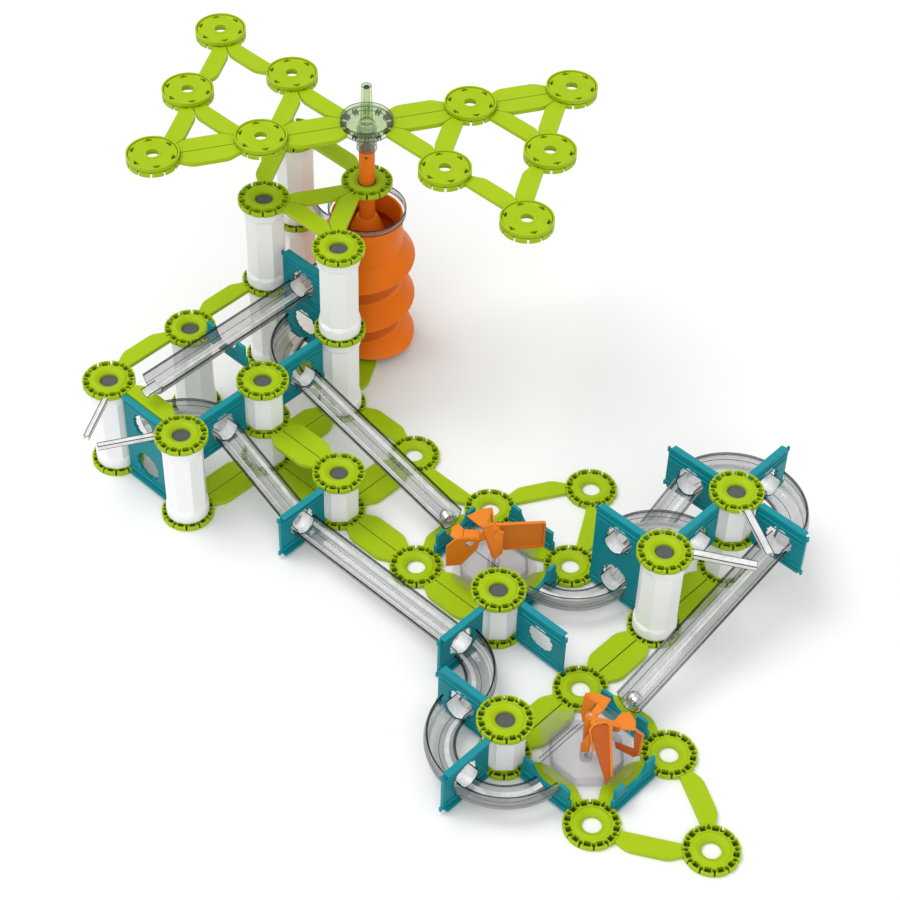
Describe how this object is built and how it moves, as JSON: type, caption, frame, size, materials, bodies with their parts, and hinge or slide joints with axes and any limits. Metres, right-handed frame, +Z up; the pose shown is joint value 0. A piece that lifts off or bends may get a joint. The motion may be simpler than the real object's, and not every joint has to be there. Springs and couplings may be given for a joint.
{
  "type": "marble run",
  "caption": "Clip-together marble run: slotted discs, link beams, white columns and toothed panels carry clear channels, two vane wheels and a screw lift turned by a large openwork rotor.",
  "frame": {"origin": "on the floor, on the vertical axis of the lift screw", "axes": "+Z up; +X along the long way of the layout, from the lift tower towards the front wheel; +Y from the front post of the tower towards the lift screw"},
  "size_m": [0.7969, 0.5073, 0.283],
  "materials": {
    "lime_plastic": "glossy moulded plastic, lime green",
    "teal_plastic": "glossy moulded plastic, teal",
    "orange_plastic": "glossy moulded plastic, orange",
    "white_plastic": "satin moulded plastic, white",
    "grey_plastic": "satin grey",
    "clear_plastic": "clear moulded plastic",
    "steel": "polished steel"
  },
  "bodies": {
    "frame": {"ground_discs": "lime_plastic", "middle_discs": "lime_plastic", "top_discs": "lime_plastic", "tower_discs": "lime_plastic", "ground_beams": "lime_plastic", "middle_beams": "lime_plastic", "upper_beams": "lime_plastic", "tower_beams": "lime_plastic", "foot_bearing": "lime_plastic", "disc_plugs": "grey_plastic", "shaft_bush": "grey_plastic", "short_columns": "white_plastic", "tall_columns": "white_plastic", "tower_columns": "white_plastic", "short_panels": "teal_plastic", "raised_panels": "teal_plastic", "tall_panels": "teal_plastic", "saddle_panels": "teal_plastic", "tower_channel": "clear_plastic", "wheel_1_channel": "clear_plastic", "wheel_2_channel": "clear_plastic", "front_channel": "clear_plastic", "drop_channel": "clear_plastic", "rear_channel": "clear_plastic", "curved_channels": "clear_plastic", "guide_bars": "clear_plastic", "hopper_ring": "clear_plastic", "hopper_tray": "clear_plastic", "wheel_1_base": "clear_plastic", "wheel_2_base": "clear_plastic", "wheel_1_pin": "steel", "wheel_2_pin": "steel"},
    "lift_rotor": {"rotor_caps": "lime_plastic", "rotor_discs": "lime_plastic", "rotor_beams": "lime_plastic", "hub_cap": "clear_plastic", "hub_disc": "clear_plastic", "hub_collar": "clear_plastic", "handle_rod": "clear_plastic", "drive_shaft": "orange_plastic", "screw_shell": "orange_plastic", "screw_core": "orange_plastic"},
    "wheel_1": {"wheel_1_vanes": "orange_plastic"},
    "wheel_2": {"wheel_2_vanes": "orange_plastic"},
    "marble_1": {"marble_1": "steel"},
    "marble_2": {"marble_2": "steel"}
  },
  "joints": [
    {"name": "lift_spin", "type": "hinge", "parent": "frame", "child": "lift_rotor", "pos_m": [0, 0, 0.2], "axis": [0, 0, 1], "continuous": true},
    {"name": "wheel_1_spin", "type": "hinge", "parent": "frame", "child": "wheel_1", "pos_m": [0.27, -0.12294, 0.035], "axis": [0, 0, 1], "continuous": true},
    {"name": "wheel_2_spin", "type": "hinge", "parent": "frame", "child": "wheel_2", "pos_m": [0.45, -0.21294, 0.035], "axis": [0, 0, 1], "continuous": true},
    {"name": "marble_1_roll", "type": "slide", "parent": "frame", "child": "marble_1", "axis": [-0.9701, 0, 0.2425], "range_m": [0, 0.15]},
    {"name": "marble_2_roll", "type": "slide", "parent": "frame", "child": "marble_2", "axis": [0, 0.9701, 0.2425], "range_m": [0, 0.15]}
  ]
}
